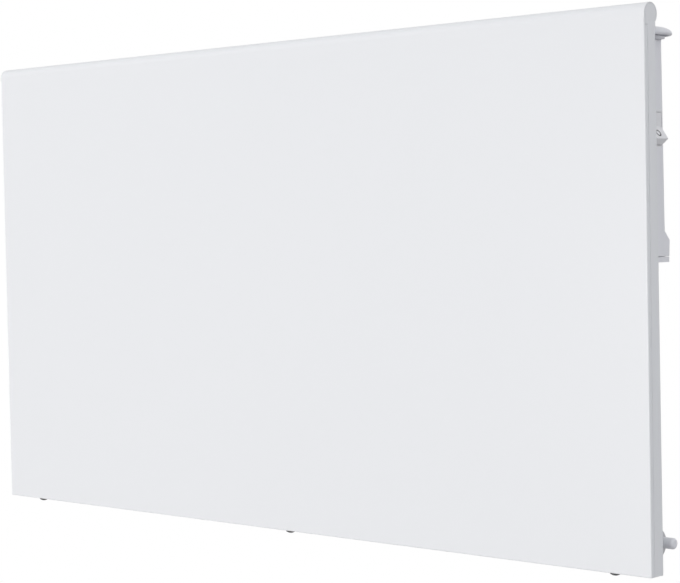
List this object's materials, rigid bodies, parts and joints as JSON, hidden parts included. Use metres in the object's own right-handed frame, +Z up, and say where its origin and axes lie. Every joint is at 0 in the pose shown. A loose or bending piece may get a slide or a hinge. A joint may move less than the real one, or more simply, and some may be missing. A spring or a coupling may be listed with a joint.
{
  "type": "wall convector heater",
  "caption": "Slim flat-front electric convector heater with a rolled top edge, side thermostat housing with dial and rocker switch, room sensor, and a hook-on wall bracket.",
  "frame": {"origin": "centre of the wall bracket's four screw holes, on the wall plane", "axes": "+X to the right seen from the room, +Y into the wall, +Z up"},
  "size_m": [0.7172, 0.068, 0.4023],
  "materials": {
    "white_paint": "white powder coat, satin to gloss",
    "casing_steel": "galvanised sheet steel",
    "zinc_steel": "zinc plated steel",
    "black_steel": "black oxide",
    "element_aluminium": "extruded and rolled aluminium",
    "white_plastic": "fine satin moulded plastic",
    "grey_plastic": "pale grey moulded plastic",
    "switch_plastic": "glossy moulded plastic",
    "terminal_plastic": "heat-proof polyamide",
    "dark_plastic": "dark moulded plastic",
    "board": "printed circuit board",
    "ceramic": "unglazed steatite",
    "black_rubber": "soft grommet rubber",
    "white_cable": "thin two-core cable",
    "brown_wire": "insulated wire",
    "blue_wire": "insulated wire",
    "green_wire": "insulated wire",
    "glass_sleeve": "woven heat-proof sleeve"
  },
  "bodies": {
    "bracket": {"bracket_left_rail": "zinc_steel", "bracket_right_rail": "zinc_steel", "bracket_top_bar": "zinc_steel", "bracket_bottom_bar": "zinc_steel", "bracket_rivets": "zinc_steel"},
    "heater": {"front_panel": "white_paint", "left_end_cap": "white_paint", "right_end_cap": "white_paint", "front_panel_screws": "black_steel", "clinch_nuts": "zinc_steel", "back_casing": "casing_steel", "casing_screws": "zinc_steel", "back_screws": "zinc_steel", "heat_shield": "element_aluminium", "heating_element": "element_aluminium", "element_rod": "zinc_steel", "left_element_bracket": "zinc_steel", "right_element_bracket": "zinc_steel", "ceramic_insulators": "ceramic", "thermal_cutout": "black_steel", "control_housing": "white_plastic", "terminal_cover": "white_plastic", "housing_screws": "zinc_steel", "dial_collar": "white_plastic", "potentiometer": "dark_plastic", "thermostat_board": "board", "switch_body": "switch_plastic", "terminal_block": "terminal_plastic", "cable_gland": "white_plastic", "wire_grommet": "black_rubber", "live_lead": "brown_wire", "neutral_lead": "blue_wire", "earth_lead": "green_wire", "cutout_lead": "glass_sleeve", "sensor_holder": "grey_plastic", "sensor_cap": "white_plastic", "sensor_bead": "dark_plastic", "sensor_lead": "white_cable"},
    "dial": {"thermostat_dial": "white_plastic", "dial_spindle": "zinc_steel"},
    "rocker": {"switch_rocker": "switch_plastic"}
  },
  "joints": [
    {"name": "heater_lift", "type": "slide", "parent": "bracket", "child": "heater", "axis": [0, 0, 1], "range_m": [0, 0.01]},
    {"name": "dial_turn", "type": "hinge", "parent": "heater", "child": "dial", "pos_m": [0.3385, -0.0354, 0.178], "axis": [0, 0, 1], "range_deg": [-135, 135]},
    {"name": "rocker_tilt", "type": "hinge", "parent": "heater", "child": "rocker", "pos_m": [0.3445, -0.0369, 0.1138], "axis": [0, 1, 0], "range_deg": [0, 34]}
  ]
}
